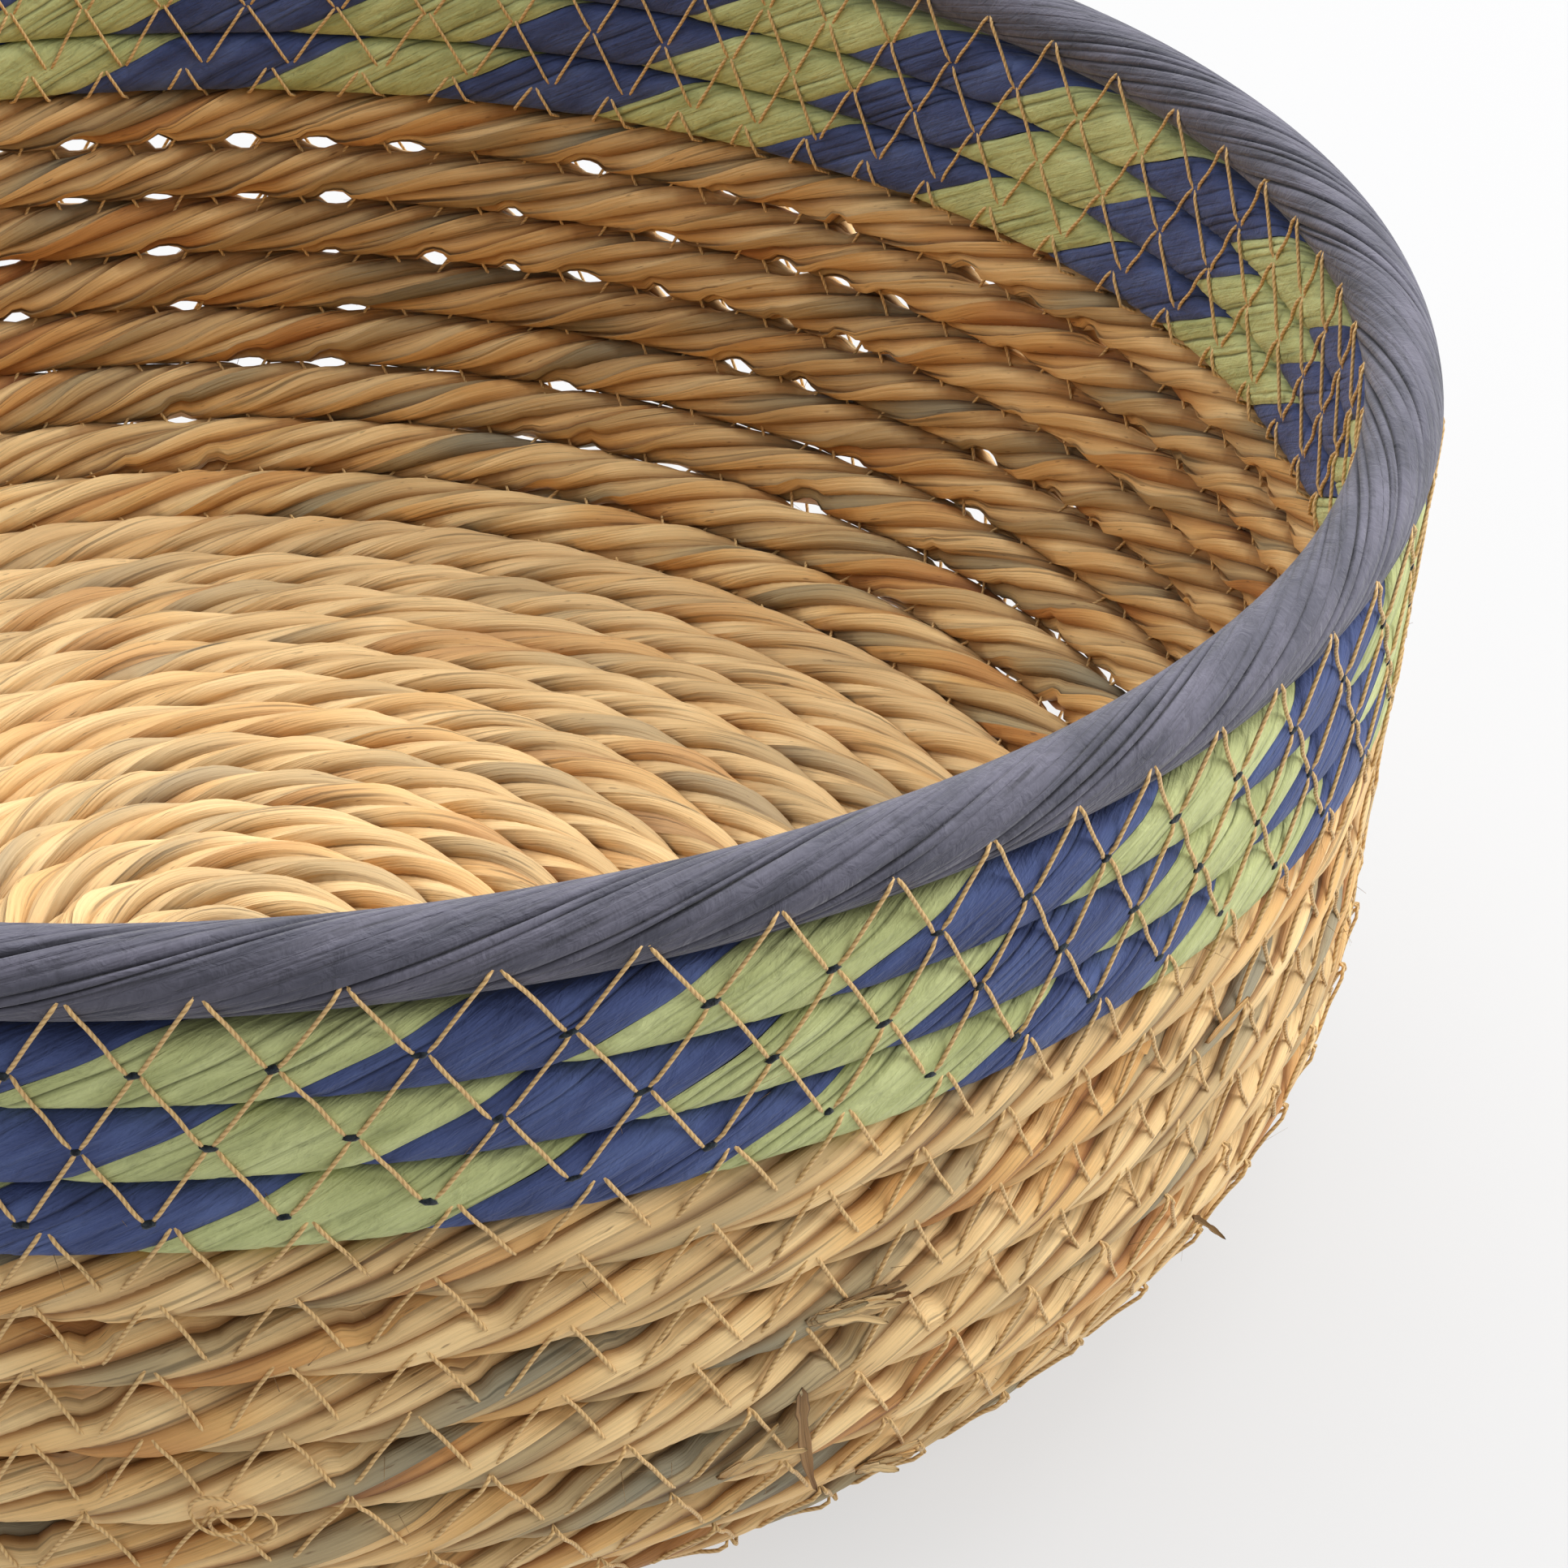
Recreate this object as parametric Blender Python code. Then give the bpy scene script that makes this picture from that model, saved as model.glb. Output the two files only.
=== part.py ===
"""Round coiled basket: one fat two-ply rope wound from the middle of the floor out, round a soft
corner and up the wall, then three turns of two-colour paper cord, and a paper rim cord on top.
Each turn is held to the one before it by a zigzag of thread.

All lengths are in metres. Every piece is swept along one path, the coil, which starts on the
basket's axis and moves one row pitch along the basket's profile with each turn.
"""

import math

import bmesh
import bpy
from mathutils import Matrix, Vector

# Driving dimensions
ROW_PITCH = 0.010  # from the middle of one turn to the middle of the next
ROPE_THICKNESS = 0.0094  # of the natural rope, through the wall
CORD_THICKNESS = 0.0096  # of the two-ply band cord
RIM_THICKNESS = 0.0102  # of the rim cord
CLEARANCE = 0.0003  # between neighbouring turns, plies and threads
FLOOR_TURNS = 12  # turns of rope that lie flat
CORNER_RADIUS = 0.043  # of the rope's centre line, from the floor to the wall
WALL_LEAN = math.radians(3.1)  # how far the wall leans out
CORNER_TURNS = 6  # turns that climb round the corner
WALL_TURNS = 4  # natural turns on the straight wall
BAND_TURNS = 3  # turns of two-colour cord
FIRST_TURN = 0.56  # how much of the first turn is left out, so that the start doesn't cross itself
COIL_SENSE = -1  # seen from above, the coil climbs clockwise; 1 would be the other way round
COIL_END_ANGLE = math.radians(205.0)  # where the rim cord ends, seen from above
CORD_LAY = 0.061  # along the cord, for one full twist of its two plies
RIM_TAPER = 0.070  # length over which the rim cord thins out to its end
STITCH_LENGTH = 0.0139  # from one needle hole to the next along a seam
THREAD_THICKNESS = 0.0011

# Fineness of the swept shapes
STATIONS_PER_TURN = 30
STATIONS_PER_TWIST = 6

# Worked out from the driving dimensions
NATURAL_TURNS = FLOOR_TURNS + CORNER_TURNS + WALL_TURNS
RIM_START = NATURAL_TURNS + BAND_TURNS
COIL_TURNS = RIM_START + 1
FLOOR_RADIUS = FLOOR_TURNS * ROW_PITCH
CORNER_LENGTH = CORNER_RADIUS * (math.pi / 2 - WALL_LEAN)
START_ANGLE = COIL_END_ANGLE - COIL_SENSE * 2 * math.pi * COIL_TURNS
STITCH_REACH = (ROW_PITCH - THREAD_THICKNESS - CLEARANCE) / 2  # above and below the seam

NATURAL = (0.44, 0.30, 0.15, 1.0)
BLUE_PAPER = (0.05, 0.10, 0.22, 1.0)
GREEN_PAPER = (0.38, 0.46, 0.22, 1.0)
SLATE_PAPER = (0.12, 0.14, 0.19, 1.0)
THREAD = (0.50, 0.34, 0.14, 1.0)


def clear_scene():
    for thing in list(bpy.data.objects):
        bpy.data.objects.remove(thing, do_unlink=True)


def material(name, colour, roughness):
    made = bpy.data.materials.new(name)
    made.use_nodes = True
    shader = made.node_tree.nodes["Principled BSDF"]
    shader.inputs["Base Color"].default_value = colour
    shader.inputs["Roughness"].default_value = roughness
    shader.inputs["Metallic"].default_value = 0.0
    made.diffuse_color = colour
    return made


def profile(distance):
    """Radius, height and slope of the rope's centre line at this distance from the axis."""
    base = ROPE_THICKNESS / 2
    if distance <= FLOOR_RADIUS:
        return distance, base, 0.0
    along = distance - FLOOR_RADIUS
    if along <= CORNER_LENGTH:
        slope = along / CORNER_RADIUS
        radius = FLOOR_RADIUS + CORNER_RADIUS * math.sin(slope)
        return radius, base + CORNER_RADIUS * (1 - math.cos(slope)), slope
    slope = math.pi / 2 - WALL_LEAN
    along -= CORNER_LENGTH
    radius = FLOOR_RADIUS + CORNER_RADIUS * math.sin(slope) + along * math.cos(slope)
    height = base + CORNER_RADIUS * (1 - math.cos(slope)) + along * math.sin(slope)
    return radius, height, slope


def coil_frame(turn):
    """Centre of the coil after this many turns, with its directions up the wall and out of it."""
    radius, height, slope = profile(turn * ROW_PITCH)
    angle = START_ANGLE + COIL_SENSE * 2 * math.pi * turn
    outward = Vector((math.cos(angle), math.sin(angle), 0.0))
    centre = outward * radius + Vector((0.0, 0.0, height))
    up_wall = outward * math.cos(slope) + Vector((0.0, 0.0, math.sin(slope)))
    out_of_wall = outward * math.sin(slope) - Vector((0.0, 0.0, math.cos(slope)))
    return centre, up_wall, out_of_wall


def sweep(name, finish, stations):
    """A closed solid extruded from the first outline in stations through each of the others."""
    shape = bmesh.new()
    start = [shape.verts.new(point) for point in stations[0]]
    face = shape.faces.new(start)
    for outline in stations[1:]:
        face = bmesh.ops.extrude_discrete_faces(shape, faces=[face])["faces"][0]
        for corner, point in zip(face.verts, outline):
            corner.co = point
    shape.faces.new(start)
    bmesh.ops.triangulate(shape, faces=shape.faces)
    bmesh.ops.recalc_face_normals(shape, faces=shape.faces)
    mesh = bpy.data.meshes.new(name)
    shape.to_mesh(mesh)
    shape.free()
    mesh.materials.append(finish)
    mesh.shade_smooth()
    mesh.set_sharp_from_angle(angle=math.radians(50))
    placed = bpy.data.objects.new(name, mesh)
    bpy.context.scene.collection.objects.link(placed)
    placed.parent = bpy.data.objects["basket"]
    return placed


def rope_outline(turn, width, thickness, share=1.0):
    """Six-sided section with its points towards the neighbouring turns and flat inside and out."""
    centre, up_wall, out_of_wall = coil_frame(turn)
    half_width = width / 2 * share
    half_thickness = thickness / 2 * share
    corners = ((1, 0), (0.5, 1), (-0.5, 1), (-1, 0), (-0.5, -1), (0.5, -1))
    return [
        centre + up_wall * (x * half_width) + out_of_wall * (y * half_thickness)
        for x, y in corners
    ]


def turns_between(start, end, per_turn):
    """Evenly numbered stations from start to end, whole steps wherever the coil has them."""
    first = math.floor(start * per_turn) + 1
    last = math.ceil(end * per_turn) - 1
    inner = [step / per_turn for step in range(first, last + 1)]
    return [start] + inner + [end]


def end_gap(turn):
    """The clearance between two stretches of the coil, as a share of a turn."""
    return CLEARANCE / 2 / (2 * math.pi * profile(turn * ROW_PITCH)[0])


def natural_stretch(name, finish, start, end):
    start += end_gap(start)
    end -= end_gap(end)
    stations = turns_between(start, end, STATIONS_PER_TURN)
    width = ROW_PITCH - CLEARANCE
    sweep(name, finish, [rope_outline(turn, width, ROPE_THICKNESS) for turn in stations])


def ply_outline(turn, side):
    """Section of one ply, with its inner edge beside the cord's middle.

    Outside the basket the plies slope up to the right, whichever way the coil climbs.
    """
    centre, up_wall, out_of_wall = coil_frame(turn)
    length = (turn - NATURAL_TURNS) * 2 * math.pi * profile(turn * ROW_PITCH)[0]
    twist = COIL_SENSE * 2 * math.pi * length / CORD_LAY + math.pi * side
    away = out_of_wall * math.cos(twist) + up_wall * math.sin(twist)
    across = up_wall * math.cos(twist) - out_of_wall * math.sin(twist)
    up_reach = (ROW_PITCH - CLEARANCE) / 2
    out_reach = CORD_THICKNESS / 2
    outline = []
    for far, wide in ((CLEARANCE / out_reach, 0.0), (0.5, 0.8), (1.0, 0.0), (0.5, -0.8)):
        corner = away * far + across * wide
        up = up_wall * (corner.dot(up_wall) * up_reach)
        out = out_of_wall * (corner.dot(out_of_wall) * out_reach)
        outline.append(centre + up + out)
    return outline


def band_row(row, blue, green):
    start = NATURAL_TURNS + row
    radius = profile((start + 0.5) * ROW_PITCH)[0]
    per_turn = max(1, round(2 * math.pi * radius / CORD_LAY * STATIONS_PER_TWIST))
    stations = turns_between(start + end_gap(start), start + 1 - end_gap(start), per_turn)
    for side, (colour, finish) in enumerate((("blue", blue), ("green", green))):
        outlines = [ply_outline(turn, side) for turn in stations]
        sweep(f"band_cord_{row + 1}_{colour}_ply", finish, outlines)


def rim_cord(finish):
    """The last turn: a thicker cord that thins out where it ends against the turn below."""
    start = RIM_START + end_gap(RIM_START)
    length = 2 * math.pi * profile(RIM_START * ROW_PITCH)[0]
    outlines = []
    for turn in turns_between(start, COIL_TURNS, STATIONS_PER_TURN):
        left = (COIL_TURNS - turn) * length
        share = 0.45 + 0.55 * min(1.0, left / RIM_TAPER)
        outline = rope_outline(turn, RIM_THICKNESS, RIM_THICKNESS, share)
        up_wall = coil_frame(turn)[1]
        seat = up_wall * ((RIM_THICKNESS - ROW_PITCH + CLEARANCE) / 2)
        sink = up_wall * (RIM_THICKNESS / 2 * (1 - share))
        outlines.append([point + seat - sink for point in outline])
    sweep("rim_cord", finish, outlines)


def seam_thread(name, finish, lower_turn, thickness_below, thickness_above):
    """Zigzag of thread on the outside of the seam on top of the given turn."""
    radius = profile((lower_turn + 0.5) * ROW_PITCH)[0]
    stitches = round(2 * math.pi * radius / STITCH_LENGTH)
    proud = (max(thickness_below, thickness_above) + THREAD_THICKNESS) / 2 + CLEARANCE
    outlines = []
    legs = 2 * stitches
    for leg in range(legs):
        side = 1 if leg % 2 else -1
        turn = lower_turn + leg / legs
        centre, up_wall, out_of_wall = coil_frame(turn)
        seam = centre + up_wall * (ROW_PITCH / 2 + side * STITCH_REACH)
        middle = seam + out_of_wall * proud
        half = THREAD_THICKNESS / 2
        outlines.append([
            middle + up_wall * half - out_of_wall * half,
            middle + out_of_wall * half,
            middle - up_wall * half - out_of_wall * half,
        ])
    sweep(name, finish, outlines)


def build():
    clear_scene()
    basket = bpy.data.objects.new("basket", None)
    basket.matrix_world = Matrix.Identity(4)
    bpy.context.scene.collection.objects.link(basket)
    natural = material("natural_grass", NATURAL, 0.75)
    blue = material("blue_paper", BLUE_PAPER, 0.6)
    green = material("green_paper", GREEN_PAPER, 0.6)
    slate = material("slate_paper", SLATE_PAPER, 0.6)
    thread = material("sewing_thread", THREAD, 0.5)
    natural_stretch("floor_coil", natural, FIRST_TURN, FLOOR_TURNS)
    for index in range(CORNER_TURNS):
        start = FLOOR_TURNS + index
        natural_stretch(f"corner_rope_turn_{index + 1}", natural, start, start + 1)
    for index in range(WALL_TURNS):
        start = FLOOR_TURNS + CORNER_TURNS + index
        natural_stretch(f"wall_rope_turn_{index + 1}", natural, start, start + 1)
    for row in range(BAND_TURNS):
        band_row(row, blue, green)
    rim_cord(slate)
    for row in range(BAND_TURNS):
        name = f"band_seam_thread_{row + 1}"
        below = ROPE_THICKNESS if row == 0 else CORD_THICKNESS
        seam_thread(name, thread, NATURAL_TURNS + row - 1, below, CORD_THICKNESS)
    seam_thread("rim_seam_thread", thread, RIM_START - 1, CORD_THICKNESS, RIM_THICKNESS)


build()
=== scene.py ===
"""Round coiled grass basket: the finish of its rope, its paper cords, its rim and its stitching."""

import math

import bmesh
import bpy
import numpy as np
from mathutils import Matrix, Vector


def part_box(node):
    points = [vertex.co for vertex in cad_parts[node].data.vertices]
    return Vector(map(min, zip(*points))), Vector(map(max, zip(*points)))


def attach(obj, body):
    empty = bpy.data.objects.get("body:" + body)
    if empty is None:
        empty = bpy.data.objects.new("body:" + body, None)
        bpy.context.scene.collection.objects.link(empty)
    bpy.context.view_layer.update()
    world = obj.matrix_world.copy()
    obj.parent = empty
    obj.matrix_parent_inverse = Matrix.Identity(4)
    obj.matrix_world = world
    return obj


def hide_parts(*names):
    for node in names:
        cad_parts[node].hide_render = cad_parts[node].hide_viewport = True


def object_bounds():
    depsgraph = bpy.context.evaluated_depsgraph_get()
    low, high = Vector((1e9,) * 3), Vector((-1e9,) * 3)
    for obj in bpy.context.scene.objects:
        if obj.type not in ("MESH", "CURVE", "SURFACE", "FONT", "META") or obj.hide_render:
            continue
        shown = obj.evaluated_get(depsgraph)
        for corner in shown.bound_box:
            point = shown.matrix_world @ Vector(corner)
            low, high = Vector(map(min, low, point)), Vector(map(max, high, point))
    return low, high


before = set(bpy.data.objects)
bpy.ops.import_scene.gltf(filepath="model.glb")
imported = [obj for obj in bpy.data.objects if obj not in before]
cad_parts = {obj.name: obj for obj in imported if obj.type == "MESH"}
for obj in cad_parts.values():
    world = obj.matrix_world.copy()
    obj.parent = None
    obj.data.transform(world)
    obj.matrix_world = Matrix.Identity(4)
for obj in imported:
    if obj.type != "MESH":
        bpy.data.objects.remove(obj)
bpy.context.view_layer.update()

# ---------------------------------------------------------------- sizes, in metres
# The coil is the one that the frame holds: it starts on the axis and moves one row pitch along
# the basket's profile with each turn.
TAU = 2 * math.pi
ROW_PITCH = 0.010  # from the middle of one turn to the middle of the next
FLOOR_TURNS = 12
CORNER_TURNS = 6
WALL_TURNS = 4
BAND_TURNS = 3
FLOOR_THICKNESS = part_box("floor_coil")[1].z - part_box("floor_coil")[0].z
CORNER_RADIUS = 0.043
WALL_LEAN = math.radians(3.1)
MIDDLE_START = 0.10  # the turn at which the rope's tucked-in tip begins
LIT_FLOOR_CORNER_TURNS = 2  # turns of the corner that take the floor's lit copy of the leaf, with less painted shade
COIL_SENSE = -1  # seen from above, the coil climbs clockwise
COIL_END_ANGLE = math.radians(205.0)  # where the rim cord ends, seen from above
NATURAL_TURNS = FLOOR_TURNS + CORNER_TURNS + WALL_TURNS
RIM_START = NATURAL_TURNS + BAND_TURNS
COIL_TURNS = RIM_START + 1
FLOOR_RADIUS = FLOOR_TURNS * ROW_PITCH
CORNER_LENGTH = CORNER_RADIUS * (math.pi / 2 - WALL_LEAN)
START_ANGLE = COIL_END_ANGLE - COIL_SENSE * TAU * COIL_TURNS

# The natural rope
ROPE_RADIUS = 0.0050
ROPE_PLIES = 5
ROPE_LAY = 0.0725  # along the rope, for one full twist of its plies
TWIST_DRIFT = 0.5  # how far the twist runs ahead or lags, in radians
PLY_SWELL = 0.13  # how much thicker or thinner a ply gets along its length
ROPE_WIDENING = 1.09  # the plies spread this much along the wall
ROPE_CROWDING = 1.03  # how far one turn may press into its neighbour's row
ROPE_DEPTH = 1.10  # the plies stand out at most this much of the rope's half thickness
LEAVES = 3  # leaves around each ply
LEAF_COLUMNS = 4  # mesh columns across one leaf
LEAF_LIP = 0.17  # how far a leaf reaches past its edge, in radians around the ply
LEAF_EDGE_DRIFT = 0.42  # how far a leaf's edge wanders, in radians around the ply
LEAF_WIDTH = 0.0050  # of a leaf on its map
PLY_GIRTH = 0.033  # from one ply to the next on that map
PULLED_TURNS = (FLOOR_TURNS + 2.2, NATURAL_TURNS - 1.1)  # where stitches have pulled gaps
PULLED_SHARE = 0.58  # share of the stitches there that have
TIP_LENGTH = 0.012  # the rope's first stretch, which thins towards its tip
TIP_BULK = 0.62  # its thickness there, as a share of the whole

# The paper cords
BAND_RADIUS = 0.0049
BAND_SQUARENESS = 4.2  # 2 would be a round cord
BAND_LAYS_PER_TURN = 16.87
BAND_PHASE = math.radians(19.5)
BAND_PLEATS = 9  # pleats across the outside of one paper ply
BAND_BACK_COLUMNS = 5  # mesh columns across the inside of one paper ply
BAND_PLEAT_DEPTH = 0.00032
BAND_PLY_WIDTH = 0.016  # of a ply's outside on its map
BAND_PLY_GIRTH = 0.05  # from one ply to the next on that map
PLEAT_COLUMNS = 3  # mesh columns across one pleat
RIM_RADIUS = 0.0052
RIM_LAY = 0.115
RIM_TAPER = 0.070  # the stretch over which the rim thins towards its end
RIM_END_SHARE = 0.20  # its thickness at the end, as a share of the whole
RIM_PLEATS = 22
RIM_PLEAT_DEPTH = 0.00075
RIM_GIRTH = 0.032  # on its map
RIM_LIFT = 0.0002  # the rim's middle above that of its turn

# Distance from one ring of mesh to the next along a cord
FLOOR_STEP = 0.0021
CORNER_STEP = 0.0018
WALL_STEP = 0.0016
PAPER_STEP = 0.0018

# The stitching
STITCH_LENGTH = 0.01410
WALL_STITCHES = 75.05  # zigzags in one turn of the natural wall
BAND_STITCHES = 75.47
STITCH_RISE = 0.0054  # how far a stitch reaches above its seam on the paper cords
NATURAL_RISE = 0.0046  # and on the natural rope
STITCH_FALL = 0.0044  # how far a stitch reaches below its seam on the paper cords
NATURAL_FALL = 0.0050  # and on the natural rope
FIRST_PEAK_ANGLE = -1.648  # where one stitch of the rim seam peaks, seen from above
THREAD_RADIUS = 0.00027
NATURAL_GRIP = 0.75  # how straight a thread is pulled over the natural rope; 1 is taut
RISING_GRIP = 0.62  # the legs that rise to the right are looser by this factor
THREAD_SLACK = 0.0009  # how deep a loose thread follows the hollows
OUTSIDE_BITE = 0.0002  # how deep a thread sinks into the leaves outside
INSIDE_BITE = 0.0027  # and inside
STANDING = 0.72  # a thread's middle above the surface, in its own radii
DIP = 1.6  # how much deeper it is where a leg begins or ends, in its own radii
NEEDLE_DEPTH = 0.0011  # how deep it goes between two legs


# ---------------------------------------------------------------- the coil's path
def profile(distance):
    """Radius, height and slope of the rope's centre line at these distances from the axis."""
    distance = np.asarray(distance, float)
    base = FLOOR_THICKNESS / 2
    round_part = np.clip(distance - FLOOR_RADIUS, 0, CORNER_LENGTH)
    straight = np.clip(distance - FLOOR_RADIUS - CORNER_LENGTH, 0, None)
    slope = round_part / CORNER_RADIUS
    radius = np.minimum(distance, FLOOR_RADIUS) + CORNER_RADIUS * np.sin(slope)
    height = base + CORNER_RADIUS * (1 - np.cos(slope))
    return radius + straight * np.cos(slope), height + straight * np.sin(slope), slope


def coil_frame(turn):
    """Centre of the coil after these turns, with its directions up the wall and out of it."""
    turn = np.asarray(turn, float)
    radius, height, slope = profile(turn * ROW_PITCH)
    angle = START_ANGLE + COIL_SENSE * TAU * turn
    outward = np.stack([np.cos(angle), np.sin(angle), np.zeros_like(angle)], -1)
    upright = np.zeros_like(outward)
    upright[..., 2] = 1.0
    centre = outward * radius[..., None] + upright * height[..., None]
    up_wall = outward * np.cos(slope)[..., None] + upright * np.sin(slope)[..., None]
    out_of_wall = outward * np.sin(slope)[..., None] - upright * np.cos(slope)[..., None]
    return centre, up_wall, out_of_wall


LENGTH_STEPS = np.linspace(0, COIL_TURNS, COIL_TURNS * 200 + 1)
LENGTH_SO_FAR = np.concatenate([[0], np.cumsum(
    np.diff(LENGTH_STEPS) * TAU * profile((LENGTH_STEPS[1:] + LENGTH_STEPS[:-1]) / 2 * ROW_PITCH)[0]
)])


def length_at(turn):
    """Length of the coil from the axis to these turns."""
    return np.interp(turn, LENGTH_STEPS, LENGTH_SO_FAR)


def turn_at(length):
    """Turns of the coil within these lengths from the axis."""
    return np.interp(length, LENGTH_SO_FAR, LENGTH_STEPS)


# ---------------------------------------------------------------- smooth seeded unevenness
def wander(seed, wavelength, reach=40.0):
    """A function of length that drifts smoothly between -1 and 1."""
    rng = np.random.default_rng(seed)
    knots = rng.uniform(-1, 1, int(reach / wavelength) + 4)

    def value(length):
        place = np.asarray(length, float) / wavelength
        place = np.mod(place, len(knots) - 2)
        low = np.floor(place).astype(int)
        share = place - low
        share = share * share * (3 - 2 * share)
        return knots[low] * (1 - share) + knots[low + 1] * share

    return value


def wrapped(angle):
    """The angle brought to between -pi and pi."""
    return np.mod(angle + math.pi, TAU) - math.pi


# ---------------------------------------------------------------- meshes
def finished(name, mesh, finish, slot, *nodes):
    """Makes this mesh a piece of the basket, in place of the frame's nodes; the slot is not used.
    """
    piece = bpy.data.objects.new(name, mesh)
    bpy.context.scene.collection.objects.link(piece)
    mesh.materials.append(finish)
    mesh.shade_smooth()
    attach(piece, "root")
    if nodes:
        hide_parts(*nodes)


def swept_sheet(along, around, place, weld=1e-6, sharp=0):
    """A grid wrapped into a tube: place turns shares along and around into points and two maps,
    and the long edges and the ends are welded. Every sharp-th long line keeps a crisp edge."""
    shape = bmesh.new()
    weave = shape.loops.layers.uv.new("weave")
    share = shape.loops.layers.uv.new("share")
    bmesh.ops.create_grid(shape, x_segments=along, y_segments=around, size=0.5, calc_uvs=False)
    flat = np.array([corner.co[:2] for corner in shape.verts])
    points, weaves, shares = place(flat[:, 0] + 0.5, flat[:, 1] + 0.5)
    for corner, point in zip(shape.verts, points.tolist()):
        corner.co = point
    weaves, shares = weaves.tolist(), shares.tolist()
    shape.verts.index_update()
    for face in shape.faces:
        for loop in face.loops:
            index = loop.vert.index
            loop[weave].uv = weaves[index]
            loop[share].uv = shares[index]
    if sharp:
        column = np.rint((flat[:, 1] + 0.5) * around).astype(int)
        crisp = (column % sharp == 0).tolist()
        column = column.tolist()
        for edge in shape.edges:
            first, second = (corner.index for corner in edge.verts)
            if crisp[first] and column[first] == column[second]:
                edge.smooth = False
    bmesh.ops.remove_doubles(shape, verts=shape.verts, dist=weld)
    bmesh.ops.recalc_face_normals(shape, faces=shape.faces)
    mesh = bpy.data.meshes.new("sheet")
    shape.to_mesh(mesh)
    shape.free()
    return mesh


def flush_rings(along, count):
    """Where each ring of a tube lies along it, and its size: the first and last rings are a point
    in the plane of the ring beside them, so that the tube ends flat against the next one."""
    ring = np.rint(along * count)
    size = np.where((ring == 0) | (ring == count), 0.0, 1.0)
    return np.clip((ring - 1) / (count - 2), 0, 1), size


# ---------------------------------------------------------------- stitch count
def stitches_per_turn(turn):
    """Zigzags in a turn: evenly long stitches round the floor and corner, then fixed counts."""
    turn = np.asarray(turn, float)
    by_length = TAU * profile(turn * ROW_PITCH)[0] / STITCH_LENGTH
    wall = np.where(turn < NATURAL_TURNS - 0.5, WALL_STITCHES, BAND_STITCHES)
    return np.where(turn < FLOOR_TURNS + CORNER_TURNS, by_length, wall)


STITCH_COUNT = np.concatenate([[0], np.cumsum(
    np.diff(LENGTH_STEPS) * stitches_per_turn((LENGTH_STEPS[1:] + LENGTH_STEPS[:-1]) / 2)
)])
# The stitches of the wall are a little longer in some stretches than in others.
STITCH_COUNT += (
    0.234 * np.clip(LENGTH_STEPS - FLOOR_TURNS - CORNER_TURNS + 1, 0, 1)
    * np.cos(7 * (START_ANGLE + COIL_SENSE * TAU * LENGTH_STEPS + 1.13))
)
# The zigzag of the cords starts a little out of step with that of the natural rope.
STITCH_COUNT -= 0.15 * np.clip((LENGTH_STEPS - NATURAL_TURNS + 0.1) / 0.2, 0, 1)
PEAK_TURN = RIM_START - 1 + ((START_ANGLE - FIRST_PEAK_ANGLE) / TAU) % 1
STITCH_SHIFT = np.interp(PEAK_TURN, LENGTH_STEPS, STITCH_COUNT) % 1


def stitch_at(turn):
    """How many zigzags the seam on top of the coil has had up to here; whole at each peak."""
    return np.interp(turn, LENGTH_STEPS, STITCH_COUNT) - STITCH_SHIFT


def turn_of_stitch(number):
    return np.interp(np.asarray(number) + STITCH_SHIFT, STITCH_COUNT, LENGTH_STEPS)


# ---------------------------------------------------------------- natural rope
def pull_holes():
    """Where stitches have pulled two turns of the wall apart, how far, and over what length."""
    rng = np.random.default_rng(77)
    first, last = (int(stitch_at(turn)) for turn in PULLED_TURNS)
    numbers = np.arange(first, last)
    chosen = rng.random(len(numbers)) < PULLED_SHARE
    depth = 0.0008 + 0.0018 * rng.random(len(numbers)) ** 1.3
    places = length_at(turn_of_stitch(numbers + 0.5 + 0.3 * (rng.random(len(numbers)) - 0.5)))
    return places[chosen], depth[chosen], 0.0015 + 0.0018 * rng.random(chosen.sum())


HOLE_PLACES, HOLE_DEPTHS, HOLE_WIDTHS = pull_holes()


def hole_at(turn):
    """How far the top edge of the rope is drawn back from its seam at this turn."""
    length = length_at(turn)
    after = np.clip(np.searchsorted(HOLE_PLACES, length), 1, len(HOLE_PLACES) - 1)
    total = np.zeros_like(length)
    for pick in (after - 1, after):
        apart = (length - HOLE_PLACES[pick]) / HOLE_WIDTHS[pick]
        total += HOLE_DEPTHS[pick] * np.exp(-apart ** 4)
    return total


TWIST_JITTER = wander(7, 0.045)
SWELL = [wander(11 + ply, 0.021) for ply in range(ROPE_PLIES)]


def held_within(offset, limit, power):
    """The offset, eased so that it doesn't pass the limit; a higher power eases it later."""
    return offset / (1 + np.abs(offset / limit) ** power) ** (1 / power)


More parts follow.
